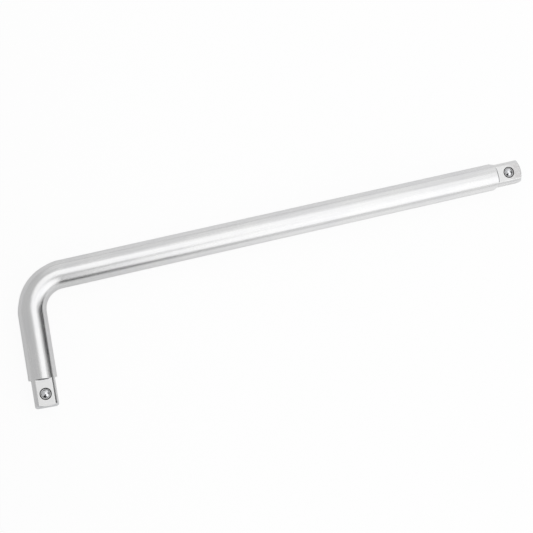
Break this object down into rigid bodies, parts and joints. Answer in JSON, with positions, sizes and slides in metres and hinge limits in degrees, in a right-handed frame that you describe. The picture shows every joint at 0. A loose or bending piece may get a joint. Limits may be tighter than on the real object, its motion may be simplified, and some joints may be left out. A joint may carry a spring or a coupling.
{
  "type": "lug wrench",
  "caption": "L-shaped lug wrench handle of bent round bar with a milled male square drive and a sprung detent ball at each end, for turning wheel-nut sockets.",
  "frame": {"origin": "centre of the short drive's end face, which is the drive that enters the socket when the long leg is the lever", "axes": "-Y out of the short drive along its axis, +X the way the long leg runs, +Z out of the flats that hold the detent balls; both leg axes lie in the plane Z = 0"},
  "size_m": [0.2988, 0.0958, 0.0154],
  "materials": {
    "satin_chrome": "satin chrome plate over ground and tumbled steel bar",
    "ball_steel": "lapped bearing ball, mirror bright",
    "spring_steel": "drawn spring wire, oiled"
  },
  "bodies": {
    "handle": {"handle_bar": "satin_chrome", "long_end_spring": "spring_steel", "short_end_spring": "spring_steel"},
    "long_ball": {"long_end_ball": "ball_steel"},
    "short_ball": {"short_end_ball": "ball_steel"}
  },
  "joints": [
    {"name": "long_ball_press", "type": "slide", "parent": "handle", "child": "long_ball", "axis": [0, 0, 1], "range_m": [-0.0011, 0], "stiffness_N_per_m": 1270, "deforming": ["long_end_spring"]},
    {"name": "short_ball_press", "type": "slide", "parent": "handle", "child": "short_ball", "axis": [0, 0, 1], "range_m": [-0.0011, 0], "stiffness_N_per_m": 1270, "deforming": ["short_end_spring"]}
  ]
}
